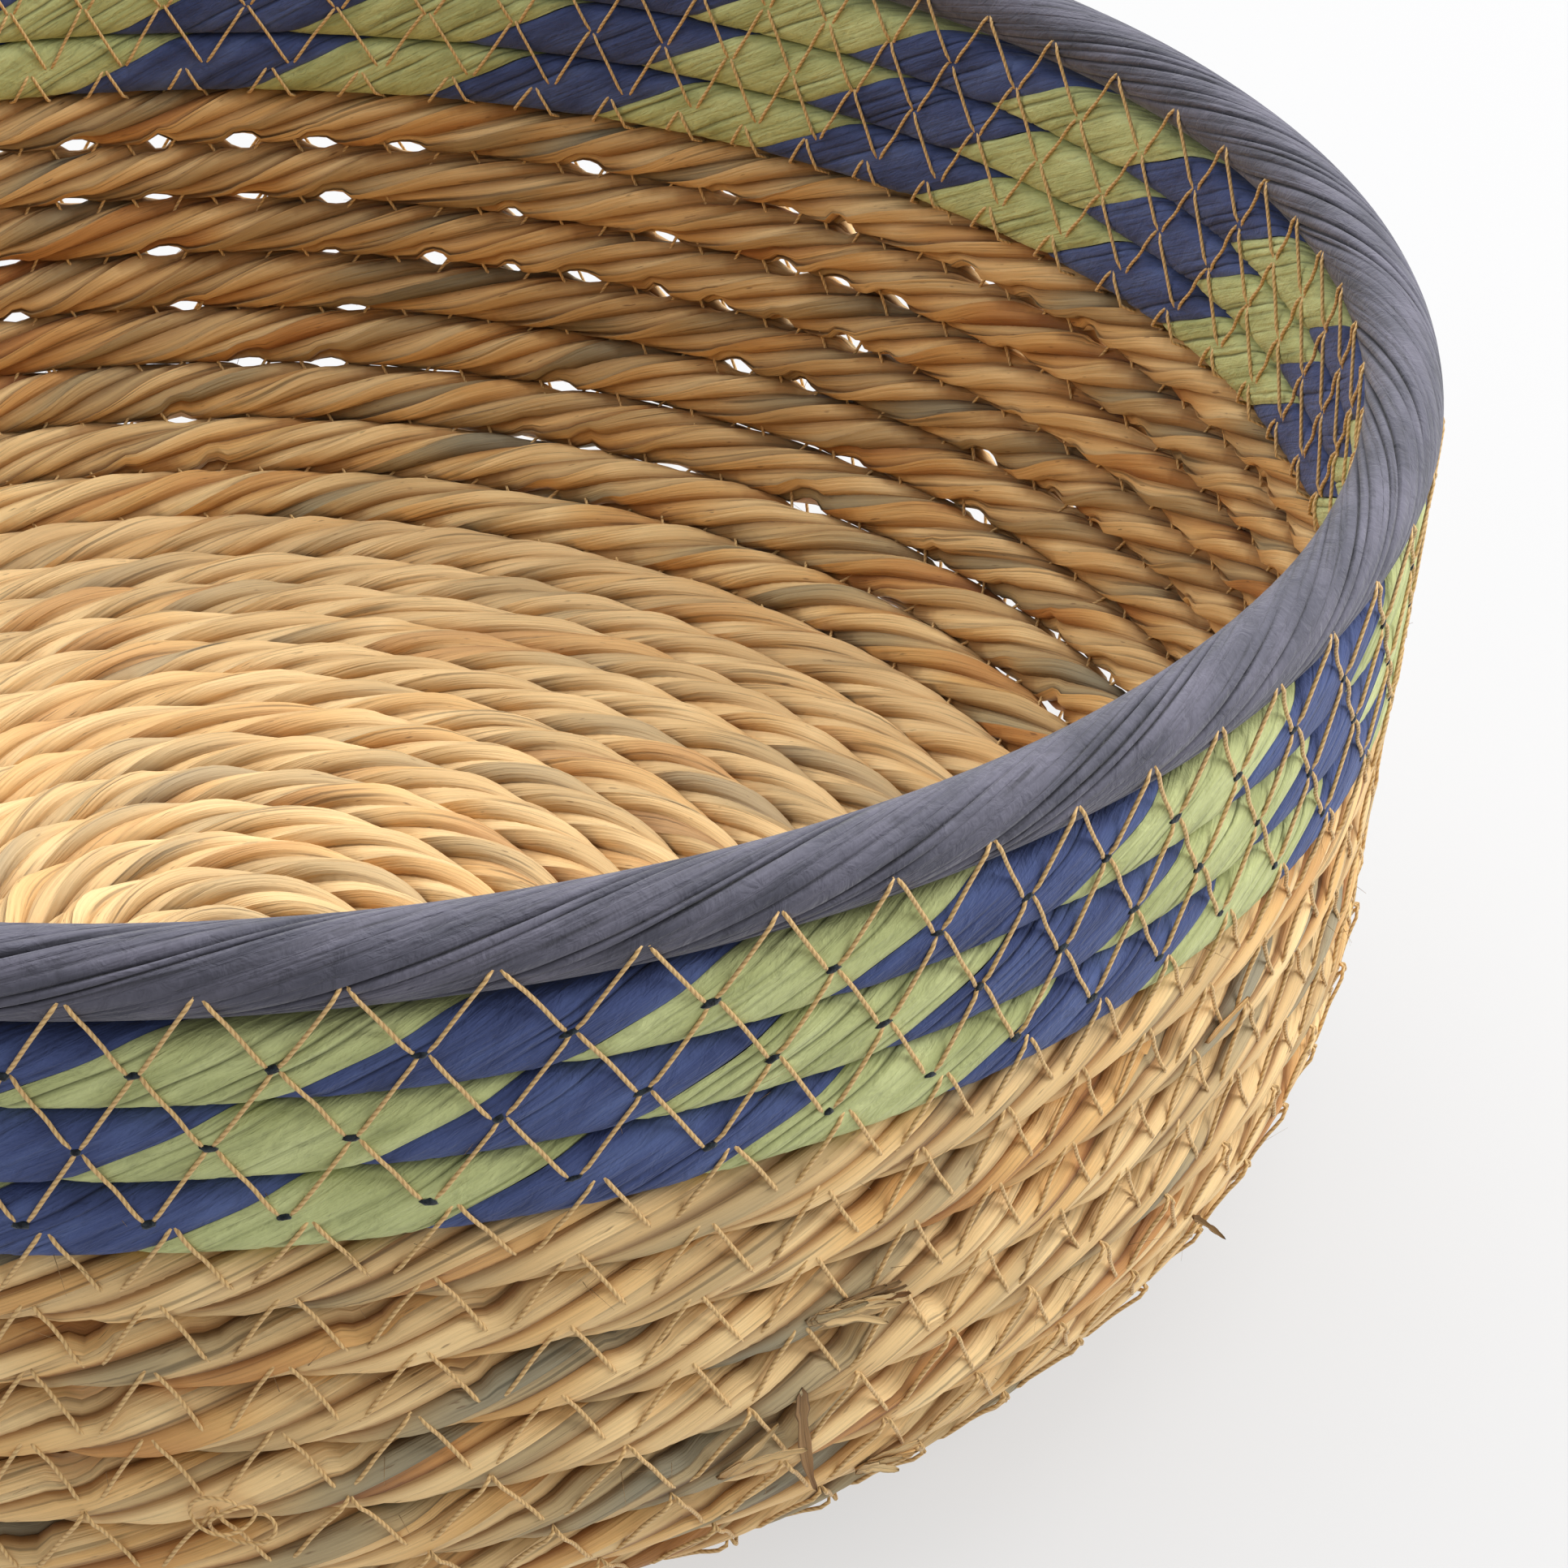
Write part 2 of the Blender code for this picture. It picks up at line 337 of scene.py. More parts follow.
def rope_section(length, turn, q, side, skin=1.0, bulk=1.0):
    """Offsets up the wall and out of it of the points at angle q around a ply."""
    twist = COIL_SENSE * TAU * length / ROPE_LAY + TAU * side / ROPE_PLIES
    twist = twist + TWIST_DRIFT * TWIST_JITTER(length)
    swell = 1 + PLY_SWELL * SWELL[side](length)
    # A ply is broad where it faces out of the basket and bulges where it faces into it.
    facing = np.cos(twist)
    inward = np.clip(-facing, 0, 1)
    deep = 0.42 + 0.18 * inward ** 4
    wide = 0.47 + 0.08 * np.clip(facing, 0, 1)
    middle = 0.60 - 0.09 * (inward - inward ** 4)
    away = ROPE_RADIUS * bulk * (middle + deep * swell * np.cos(q) * skin)
    across = ROPE_RADIUS * bulk * wide * swell * np.sin(q) * skin
    up = (away * np.sin(twist) + across * np.cos(twist)) * ROPE_WIDENING
    out = away * np.cos(twist) - across * np.sin(twist)
    up = up * (1 - 0.12 * np.clip(-out / ROPE_RADIUS - 0.3, 0, 0.7) / 0.7)
    room = ROW_PITCH / 2 * ROPE_CROWDING
    up = held_within(up, room, 16)
    # A gap that a stitch has pulled between two turns slopes up towards the inside.
    pinch = np.where(up > 0, hole_at(turn), hole_at(turn - 1)) / room
    slant = np.clip(0.55 + np.sign(up) * out / 0.007, 0.1, 1)
    up = up * (1 - pinch * slant)
    out = held_within(out, FLOOR_THICKNESS / 2 * ROPE_DEPTH, 8)
    return up, out


def leaf_layout(side):
    """Per leaf of a ply: how its edge drifts, how far it stands up and how much it puffs."""
    return [
        (
            wander(430 + 10 * side + leaf, 0.028),
            wander(500 + 10 * side + leaf, 0.024),
            wander(600 + 10 * side + leaf, 0.013),
        )
        for leaf in range(LEAVES)
    ]


def painted_leaf_shade(turn, up, out, tucked, turned):
    """Painted shade on the rope, as a share of full light: less under a lip, in the grooves between
    plies and between turns, and on the inside of the steep wall.
    """
    groove = np.clip((1.42 - turned) / 0.45, 0, 1)
    inner = np.clip(-2 * out / ROPE_RADIUS, 0, 1)
    seam = np.clip((np.abs(up) / (ROW_PITCH / 2) - 0.90 + 0.16 * inner) / 0.16, 0, 1)
    depth = 0.75 - 0.25 * inner
    light = (1 - 0.75 * tucked) * (1 - depth + depth * groove)
    light = light * (1 - (0.30 + 0.10 * inner) * seam)
    # Painted shade: the inside of the steep wall is darker.
    slope = profile(turn * ROW_PITCH)[2]
    return light * (1 - 0.23 * inner * np.sin(slope) ** 3)


def rope_ply(start, end, side, step):
    """One ply of the natural rope: leaves side by side, each with its edge over the next."""
    first, last = float(length_at(start)), float(length_at(end))
    layout = leaf_layout(side)
    columns = LEAVES * LEAF_COLUMNS
    count = int((last - first) / step)

    def place(along, about):
        along, bulk = flush_rings(along, count)
        length = first + (last - first) * along
        column = np.rint(about * columns).astype(int) % columns
        leaf = column // LEAF_COLUMNS
        across = (column % LEAF_COLUMNS) / (LEAF_COLUMNS - 1)
        edges = np.stack([
            TAU * i / LEAVES + LEAF_EDGE_DRIFT * drift(length)
            for i, (drift, _, _) in enumerate(layout)
        ])
        edges = np.concatenate([edges, edges[:1] + TAU])
        stand = np.stack([
            0.25 + 0.75 * np.clip(0.4 + standing(length), 0, 1) for _, standing, _ in layout
        ])
        stand = np.concatenate([stand, stand[:1]])
        puff = np.stack([puffing(length) for _, _, puffing in layout])
        pick = np.arange(len(length))
        own, following = edges[leaf, pick], edges[leaf + 1, pick]
        q = own - LEAF_LIP + across * (following - own + 1.4 * LEAF_LIP)
        turned = np.abs(wrapped(q))
        open_air = np.clip((1.32 - turned) / 0.45, 0, 1)
        high = 0.09 * stand[leaf, pick] * open_air
        low = -(0.14 + 0.17 * stand[leaf + 1, pick]) * (0.5 + 0.5 * open_air)
        skin = 1 + high + (low - high) * across ** 2.2
        skin = skin + (0.03 + 0.04 * puff[leaf, pick]) * np.sin(math.pi * across)
        if start < 1:
            from_tip = np.clip((length - first) / TIP_LENGTH, 0, 1)
            bulk = bulk * (TIP_BULK + (1 - TIP_BULK) * from_tip ** 0.5)
        turn = turn_at(length)
        up, out = rope_section(length, turn, q, side, skin, bulk)
        centre, up_wall, out_of_wall = coil_frame(turn)
        points = centre + up_wall * up[:, None] + out_of_wall * out[:, None]
        weave = np.stack([length, LEAF_WIDTH * (leaf + across) + PLY_GIRTH * side], -1)
        # Painted shade under the lip of the next leaf, in the grooves and between turns, goes to
        # the share map.
        tucked = np.clip((across - 0.72) / 0.28, 0, 1) * open_air * stand[leaf + 1, pick]
        light = painted_leaf_shade(turn, up, out, tucked, turned)
        return points, weave, np.stack([leaf + LEAVES * side + 0.5, light], -1)

    return swept_sheet(count, columns, place, sharp=LEAF_COLUMNS)


# ---------------------------------------------------------------- band cord
def band_radius(theta):
    """The pressed outline of the cord: nearly square, with soft corners."""
    power = BAND_SQUARENESS
    stretch = (np.abs(np.cos(theta)) ** power + np.abs(np.sin(theta)) ** power) ** (1 / power)
    return BAND_RADIUS / stretch


def band_twist(turn, side):
    """Which way the middle of a ply's outside faces; 0 is out of the basket."""
    twist = COIL_SENSE * TAU * (turn - NATURAL_TURNS) * BAND_LAYS_PER_TURN
    return twist + BAND_PHASE + math.pi * side


def pleat_layout(seed, count, fade):
    """Per pleat of a paper cord: how its line drifts, and how it deepens and fades."""
    return [(wander(seed + 2 * i, 0.055), wander(seed + 2 * i + 1, fade)) for i in range(count)]


def pleats(layout, column, length, wrap):
    """Where each column of a pleated sheet stands across it (0 to 1), and how deep it is sunk."""
    count = len(layout)
    lines = np.stack([(i + 0.34 * drift(length)) / count for i, (drift, _) in enumerate(layout)])
    closing = lines[:1] + 1 if wrap else np.ones_like(lines[:1])
    if not wrap:
        lines[0] = 0
    lines = np.concatenate([lines, closing])
    depth = np.stack([
        0.12 + 0.88 * np.clip(1.5 * fade(length), 0, 1) ** 1.5 for _, fade in layout
    ])
    pick = np.arange(len(length))
    pleat = np.clip(column // PLEAT_COLUMNS, 0, count - 1)
    kind = column - PLEAT_COLUMNS * pleat
    own, following = lines[pleat, pick], lines[pleat + 1, pick]
    across = np.select([kind == 0, kind == 1, kind == 2], [0.0, 0.22, 0.80], 1.0)
    sunk = np.where(kind == 0, depth[pleat, pick], 0.0)
    return own + (following - own) * across, sunk


def band_ply(row, side):
    """One paper ply of a band row: pleated on the outside, and hollow towards the other ply."""
    start, end = NATURAL_TURNS + row, NATURAL_TURNS + row + 1
    first, last = float(length_at(start)), float(length_at(end))
    layout = pleat_layout(2000 + 100 * row + 50 * side, BAND_PLEATS, 0.030)
    face_columns = PLEAT_COLUMNS * BAND_PLEATS
    sway, swell = wander(23 + row, 0.05), wander(31 + side, 0.012)
    count = int((last - first) / PAPER_STEP)

    def place(along, about):
        along, ends = flush_rings(along, count)
        length = first + (last - first) * along
        turn = turn_at(length)
        column = np.rint(about * (face_columns + BAND_BACK_COLUMNS)).astype(int)
        outer = column <= face_columns
        across, sunk = pleats(layout, np.minimum(column, face_columns), length, False)
        back = (column - face_columns) / BAND_BACK_COLUMNS
        q = np.where(outer, (across - 0.5) * math.pi, (0.5 - back) * math.pi)
        twist = band_twist(turn, side) + 0.10 * sway(length)
        radius = band_radius(twist + q)
        edge = np.abs(q) / (math.pi / 2)
        radius = radius * (1 - 0.10 * edge ** 12) * (1 + 0.010 * swell(length))
        radius = radius - BAND_PLEAT_DEPTH * sunk
        radius = np.where(outer, radius, 0.0002 + 0.80 * np.abs(np.sin(q)) * radius)
        out = radius * np.cos(twist + q)
        up = radius * np.sin(twist + q) * 1.025
        centre, up_wall, out_of_wall = coil_frame(turn)
        points = centre + up_wall * (up * ends)[:, None] + out_of_wall * (out * ends)[:, None]
        width = BAND_PLY_WIDTH * np.where(outer, across, 1 + back)
        weave = np.stack([length, width + BAND_PLY_GIRTH * side], -1)
        # The share map's second value is painted shade: the pleat's depth outside, full shade on
        # the hollow inner side.
        return points, weave, np.stack([row + 0.5 + 0 * length, np.where(outer, sunk, 1.0)], -1)

    return swept_sheet(count, face_columns + BAND_BACK_COLUMNS, place, sharp=PLEAT_COLUMNS)


# ---------------------------------------------------------------- rim cord
def rim_sheet():
    """The twisted paper of the rim, which thins out above its own start."""
    first, last = float(length_at(RIM_START)), float(length_at(COIL_TURNS))
    layout = pleat_layout(3000, RIM_PLEATS, 0.055)
    columns = PLEAT_COLUMNS * RIM_PLEATS
    swell = wander(41, 0.021)
    count = int((last - first) / PAPER_STEP)

    def place(along, about):
        along, ends = flush_rings(along, count)
        length = first + (last - first) * along
        turn = turn_at(length)
        column = np.rint(about * columns).astype(int) % columns
        across, sunk = pleats(layout, column, length, True)
        theta = TAU * (across + COIL_SENSE * length / RIM_LAY)
        left = (1 - along) * (last - first)
        share = RIM_END_SHARE + (1 - RIM_END_SHARE) * np.clip(left / RIM_TAPER, 0, 1)
        radius = RIM_RADIUS * (1 + 0.018 * swell(length)) - RIM_PLEAT_DEPTH * sunk
        radius = radius * share * ends
        up = radius * np.sin(theta) - RIM_RADIUS * (1 - share) + RIM_LIFT
        up = np.where(up < 0, 0.90 * up, up)
        out = radius * np.cos(theta)
        centre, up_wall, out_of_wall = coil_frame(turn)
        points = centre + up_wall * up[:, None] + out_of_wall * out[:, None]
        weave = np.stack([length, RIM_GIRTH * about], -1)
        # The share map's second value is painted shade, as deep as the pleat is sunk.
        return points, weave, np.stack([0 * length, sunk], -1)

    return swept_sheet(count, columns, place, sharp=PLEAT_COLUMNS)


# ---------------------------------------------------------------- stitching
def surface_out(turn, up, inside):
    """How far the rope's surface stands out of the wall's middle at this height of a turn."""
    face = -1.0 if inside else 1.0
    rim = np.sqrt(np.clip(RIM_RADIUS ** 2 - (up - RIM_LIFT) ** 2, 0, None))
    theta = np.arcsin(np.clip(up / BAND_RADIUS, -0.985, 0.985))
    for _ in range(3):
        theta = np.arcsin(np.clip(up / band_radius(theta), -0.985, 0.985))
    cord = band_radius(theta) * np.cos(theta)
    length = length_at(turn)
    rope = np.zeros_like(up)
    q = np.linspace(0, TAU, 48, endpoint=False)
    for side in range(ROPE_PLIES):
        ups, outs = rope_section(length[:, None], turn[:, None], q[None, :], side)
        near = np.abs(ups - up[:, None]) < 0.0005
        rope = np.maximum(rope, np.where(near, outs * face, 0).max(axis=1))
    return np.where(turn >= RIM_START, rim, np.where(turn >= NATURAL_TURNS, cord, rope))


def taut(heights):
    """The lowest line over these heights that never bends outwards, as a pulled thread lies."""
    kept = []
    for index, height in enumerate(heights):
        while len(kept) > 1:
            a, b = kept[-2], kept[-1]
            if (heights[b] - heights[a]) * (index - a) > (height - heights[a]) * (b - a):
                break
            kept.pop()
        kept.append(index)
    return np.interp(np.arange(len(heights)), kept, heights[kept])


def seam_stitches(seam, inside, samples, rng):
    """The centre line of the thread along one seam, leg after leg, sunk between the legs."""
    start, end = seam, seam + 1
    if seam == RIM_START - 1:
        end -= 0.01
    first = math.ceil(float(stitch_at(start)) * 2 + 0.2)
    last = math.floor(float(stitch_at(end)) * 2 - 0.2)
    legs = np.arange(first, last)
    leg = np.repeat(legs, samples)
    share = np.tile(np.linspace(0, 1, samples), len(legs))

    # The share of a leg that is out of sight in its holes is larger at the feet.
    feet = np.arange(first, last + 1) % 2 == 1
    gaps = 0.03 + 0.04 * rng.random(len(legs) + 1)
    foot_gap = 0.09 if seam < NATURAL_TURNS else 0.03
    gaps[feet] += foot_gap * (0.7 + 0.6 * rng.random(feet.sum()))
    first_gap, last_gap = np.repeat(gaps[:-1], samples), np.repeat(gaps[1:], samples)
    turn = turn_of_stitch((leg + first_gap + (1 - first_gap - last_gap) * share) / 2)

    # How far up from its seam each spot of the thread lies.
    rise = STITCH_RISE if seam >= NATURAL_TURNS else NATURAL_RISE
    highs = rise * (0.95 + 0.10 * np.repeat(rng.random(len(legs)), samples))
    fall = STITCH_FALL if seam >= NATURAL_TURNS - 1 else NATURAL_FALL
    lows = fall * (0.95 + 0.10 * np.repeat(rng.random(len(legs)), samples))
    down = np.where(leg % 2 == 0, share, 1 - share)
    bow = 0.0005 * (np.repeat(rng.random(len(legs)), samples) - 0.4) * np.sin(math.pi * share)
    up = highs - (highs + lows) * down + bow

    # How far out it lies: pulled straight over the bumps, or following them.
    above = up >= 0
    own_turn = np.where(above, turn + 1, turn)
    own_up = np.where(above, up - ROW_PITCH / 2, up + ROW_PITCH / 2)
    lines = surface_out(own_turn, own_up, inside).reshape(-1, samples)
    pulled = np.stack([taut(line) for line in lines])
    grip = np.where(legs % 2 == 0, 1.0, RISING_GRIP)[:, None]
    grip = grip * (NATURAL_GRIP if seam < NATURAL_TURNS - 1 else 1.0)
    lines = pulled * grip + np.maximum(lines, pulled - THREAD_SLACK) * (1 - grip)
    on_leaf = (own_turn < NATURAL_TURNS).reshape(-1, samples)
    lines = lines - (INSIDE_BITE if inside else OUTSIDE_BITE) * on_leaf
    lines = lines + THREAD_RADIUS * STANDING
    lines[:, 0] -= DIP * THREAD_RADIUS
    lines[:, -1] -= DIP * THREAD_RADIUS

    centre, up_wall, out_of_wall = coil_frame(turn)
    face = -1.0 if inside else 1.0
    lift = (up + ROW_PITCH / 2)[:, None]
    points = centre + up_wall * lift + out_of_wall * (face * lines.reshape(-1))[:, None]
    points = points.reshape(-1, samples, 3)
    sunk = (points[1:, 0] + points[:-1, -1]) / 2
    inward = out_of_wall.reshape(-1, samples, 3)[1:, 0] * (-face * NEEDLE_DEPTH)
    joined = np.concatenate([points[:-1], (sunk + inward)[:, None]], axis=1).reshape(-1, 3)
    return np.concatenate([joined, points[-1]])


def thread_sheet(points, sides, radius=THREAD_RADIUS):
    """A round tube along these points."""
    points = np.asarray(points, float)
    ahead = np.gradient(points, axis=0)
    ahead /= np.linalg.norm(ahead, axis=1)[:, None]
    radial = points * np.array([1.0, 1.0, 0.15])  # roughly out of the basket
    sideways = np.cross(ahead, radial)
    sideways /= np.linalg.norm(sideways, axis=1)[:, None]
    upward = np.cross(sideways, ahead)
    run = np.concatenate([[0], np.cumsum(np.linalg.norm(np.diff(points, axis=0), axis=1))])
    count = len(points) - 1

    def place(along, about):
        row = np.rint(along * count).astype(int)
        theta = TAU * np.rint(about * sides) / sides
        thick = radius * np.where((row == 0) | (row == count), 0.02, 1.0)
        ring = sideways[row] * np.cos(theta)[:, None] + upward[row] * np.sin(theta)[:, None]
        placed = points[row] + thick[:, None] * ring
        return placed, np.stack([run[row], about], -1), np.stack([0 * about, about], -1)

    return swept_sheet(count, sides, place, weld=2e-6)


def needle_hole_shade(seam, rng):
    """Painted shade of the needle holes: small dark fuzzy discs on the coloured cords, between the
    feet of the stitches.
    """
    shape = bmesh.new()
    first = math.ceil(float(stitch_at(seam)) + 0.1)
    last = math.floor(float(stitch_at(seam + 1)) - 0.6)
    numbers = np.arange(first, last) + 0.5
    turn = turn_of_stitch(numbers)
    up = np.full(len(turn), ROW_PITCH / 2 - STITCH_FALL - 0.0001)
    out = surface_out(turn, up, False)
    centre, up_wall, out_of_wall = coil_frame(turn)
    places = centre + up_wall * up[:, None] + out_of_wall * out[:, None]
    for place, above, outward in zip(places, up_wall, out_of_wall):
        ball = bmesh.ops.create_icosphere(shape, subdivisions=2, radius=1.0)["verts"]
        wide, high = rng.uniform(0.0006, 0.0012), rng.uniform(0.00036, 0.00060)
        deep = 0.00028
        along = np.cross(above, outward)
        tilt = rng.uniform(-0.3, 0.3)
        side = along * math.cos(tilt) + above * math.sin(tilt)
        rise = above * math.cos(tilt) - along * math.sin(tilt)
        for corner in ball:
            x, y, z = corner.co
            uneven = 1 + 0.28 * rng.uniform(-1, 1)
            corner.co = (
                place + side * (x * wide * uneven) + rise * (y * high * uneven)
                + outward * (z * deep)
            )
    mesh = bpy.data.meshes.new("marks")
    shape.to_mesh(mesh)
    shape.free()
    return mesh


# ---------------------------------------------------------------- loose bits
BIT_START = 0.0046  # how far out of the wall's middle a loose bit starts
BIT_THICKNESS = 0.0002
STRAY_THREAD_RADIUS = 0.00024
HAIRS = 420
HAIR_START = 0.0042
HAIRY_TURNS = (15.0, NATURAL_TURNS + 1.4)
STRAY_LOOP_TURN = 18.82
# Turn, finish, how many, reach, width, lift, heading (0 to the right, up positive), spread
LOOSE_BITS = (
    (18.7527, "dry", 1, 0.0200, 0.0026, 0.0010, -1.55, 0.02),
    (17.6843, "dry", 1, 0.0048, 0.0010, 0.0036, -0.60, 0.20),
    (19.7500, "dry", 4, 0.0085, 0.0020, 0.0018, 0.45, 1.30),
    (19.7520, "straw", 4, 0.0110, 0.0022, 0.0014, 0.30, 0.90),
    (16.7403, "straw", 5, 0.0080, 0.0026, 0.0014, 0.25, 1.00),
    (17.7620, "straw", 2, 0.0120, 0.0020, 0.0012, 0.40, 0.50),
    (20.6900, "straw", 2, 0.0090, 0.0014, 0.0010, 0.60, 0.80),
)


def on_wall(turn, along, up, out):
    """A point this far along, up and out of the wall from the middle of the coil at a turn."""
    radius, height, slope = profile(turn * ROW_PITCH + up)
    angle = START_ANGLE + COIL_SENSE * TAU * turn + along / radius
    reach = radius + np.sin(slope) * out
    rise = height - np.cos(slope) * out
    return np.stack([np.cos(angle) * reach, np.sin(angle) * reach, rise], -1)


def capped(share_along, ends):
    """1 along the middle, closing to 0 at both ends, so that a tube ends in a rounded tip."""
    near = np.clip(np.minimum(share_along, 1 - share_along) / ends, 0, 1)
    return np.sqrt(np.clip(1 - (1 - near) ** 2, 0, 1))


def loose_bit(turn, heading, reach, width, lift, rng):
    """A torn ribbon of leaf that starts in the rope's surface and stands off towards its tip."""
    bend, cup = rng.uniform(-0.5, 0.5), rng.uniform(0.0001, 0.0005)
    ragged = wander(int(rng.integers(1, 9999)), 0.09)
    row = rng.integers(0, 15) + 0.5

    def place(along, about):
        theta = TAU * about
        course = heading + bend * along / 2
        half = width / 2 * (1 - 0.7 * along ** 1.6) * (1 + 0.35 * ragged(along))
        half = half * capped(along, 0.05)
        sideways = half * np.cos(theta)
        side = reach * along * np.cos(course) - sideways * np.sin(heading + bend * along)
        up = reach * along * np.sin(course) + sideways * np.cos(heading + bend * along)
        raised = BIT_START + lift * along ** 1.5
        out = raised + cup * np.cos(theta) ** 2 + BIT_THICKNESS / 2 * np.sin(theta)
        points = on_wall(turn, side, up, out)
        weave = np.stack([reach * along, 0.0015 * np.cos(theta) + 0.01 * row], -1)
        # The share map's second value is painted shade, darker towards the root where the bit
        # leaves the rope.
        return points, weave, np.stack([row + 0 * along, 0.95 - 0.4 * (1 - along) ** 3], -1)

    return swept_sheet(16, 8, place)


def fuzz(rng):
    """Short fine hairs that stand off the outside of the rope near its seams."""
    shape = bmesh.new()
    for _ in range(HAIRS):
        turn = rng.uniform(*HAIRY_TURNS)
        length, heading = rng.uniform(0.0015, 0.0050), rng.uniform(0, TAU)
        lean = rng.uniform(0.1, 0.7)
        start_up = ROW_PITCH / 2 + rng.normal(0, 0.0015)
        hair = bmesh.ops.create_cone(
            shape, cap_ends=True, segments=3, radius1=0.00005, radius2=0.00002, depth=1.0,
        )["verts"]
        local = np.array([corner.co[:] for corner in hair])
        run = (local[:, 2] + 0.5) * length
        along = run * math.cos(heading) + local[:, 0]
        up = start_up + run * math.sin(heading) + local[:, 1]
        points = on_wall(turn, along, up, HAIR_START + run * lean)
        for corner, point in zip(hair, points.tolist()):
            corner.co = point
    bmesh.ops.recalc_face_normals(shape, faces=shape.faces)
    mesh = bpy.data.meshes.new("fuzz")
    shape.to_mesh(mesh)
    shape.free()
    for layer in ("weave", "share"):
        mesh.uv_layers.new(name=layer)
    return mesh


# ---------------------------------------------------------------- finishes
def linear(red, green, blue):
    """A colour given as it looks on screen, 0 to 255, as linear light."""
    return tuple(
        (c / 12.92 if c <= 0.04045 else ((c + 0.055) / 1.055) ** 2.4)
        for c in (red / 255, green / 255, blue / 255)
    ) + (1.0,)


class Finish:
    """A Principled material whose nodes are added one by one."""

    def __init__(self, name, roughness, sheen=0.0, specular=0.4):
        self.material = bpy.data.materials.new(name)
        self.material.use_nodes = True
        self.tree = self.material.node_tree
        self.shader = self.tree.nodes["Principled BSDF"]
        self.shader.inputs["Roughness"].default_value = roughness
        self.shader.inputs["Sheen Weight"].default_value = sheen
        self.shader.inputs["Specular IOR Level"].default_value = specular

    def node(self, kind, **settings):
        made = self.tree.nodes.new(kind)
        for key, value in settings.items():
            setattr(made, key, value)
        return made

    def link(self, source, target):
        self.tree.links.new(source, target)

    def weave(self, stretch):
        """Coordinates on the piece's own map, in metres along and around, scaled."""
        uv = self.node("ShaderNodeUVMap", uv_map="weave")
        mapping = self.node("ShaderNodeMapping")
        mapping.inputs["Scale"].default_value = (*stretch, 1.0)
        self.link(uv.outputs["UV"], mapping.inputs["Vector"])
        return mapping.outputs["Vector"]

    def share(self):
        """The second map: which leaf or row a spot is in, and how much painted shade it gets, which
        on the paper follows how sunk it is.
        """
        uv = self.node("ShaderNodeUVMap", uv_map="share")
        parts = self.node("ShaderNodeSeparateXYZ")
        self.link(uv.outputs["UV"], parts.inputs["Vector"])
        return parts

    def leaf_spots(self, share, along, between):
        """Coordinates that run along each leaf and jump from one leaf to the next."""
        parts = self.node("ShaderNodeSeparateXYZ")
        self.link(self.weave((along, 1.0)), parts.inputs["Vector"])
        step = self.node("ShaderNodeMath", operation="MULTIPLY")
        step.inputs[1].default_value = between
        self.link(share.outputs["X"], step.inputs[0])
        made = self.node("ShaderNodeCombineXYZ")
        self.link(parts.outputs["X"], made.inputs["X"])
        self.link(step.outputs["Value"], made.inputs["Y"])
        return made.outputs["Vector"]

    def solid_place(self):
        return self.node("ShaderNodeTexCoord").outputs["Object"]

    def average(self, first, second, share):
        made = self.node("ShaderNodeMix", data_type="FLOAT")
        made.inputs["Factor"].default_value = share
        numbers = [s for s in made.inputs if s.enabled]
        self.link(first, numbers[1])
        self.link(second, numbers[2])
        return [s for s in made.outputs if s.enabled][0]

    def noise(self, coordinates, scale=1.0, detail=3.0, roughness=0.5, distortion=0.0):
        made = self.node("ShaderNodeTexNoise")
        made.inputs["Scale"].default_value = scale
        made.inputs["Detail"].default_value = detail
        made.inputs["Roughness"].default_value = roughness
        made.inputs["Distortion"].default_value = distortion
        self.link(coordinates, made.inputs["Vector"])
        return made.outputs["Fac"]

    def ramp(self, value, stops):
        made = self.node("ShaderNodeValToRGB")
        elements = made.color_ramp.elements
        while len(elements) < len(stops):
            elements.new(0.5)
        for element, (place, colour) in zip(elements, stops):
            element.position = place
            element.color = colour
        self.link(value, made.inputs["Fac"])
        return made.outputs["Color"]

    def mix(self, first, second, share, blend="MIX"):
        made = self.node("ShaderNodeMix", data_type="RGBA", blend_type=blend)
        for socket, value in (("Factor", share), ("A", first), ("B", second)):
            sockets = [s for s in made.inputs if s.name == socket and s.enabled]
            target = sockets[0] if socket == "Factor" else sockets[-1]
            if isinstance(value, (tuple, float)):
                target.default_value = value
            else:
                self.link(value, target)
        return [s for s in made.outputs if s.enabled][-1]

    def bump(self, height, strength, distance, below=None):
        made = self.node("ShaderNodeBump")
        made.inputs["Strength"].default_value = strength
        made.inputs["Distance"].default_value = distance
        self.link(height, made.inputs["Height"])
        if below is not None:
            self.link(below, made.inputs["Normal"])
        return made.outputs["Normal"]

    def colour(self, source):
        self.link(source, self.shader.inputs["Base Color"])

    def normal(self, source):
        self.link(source, self.shader.inputs["Normal"])


def grey(value):
    return (value, value, value, 1.0)


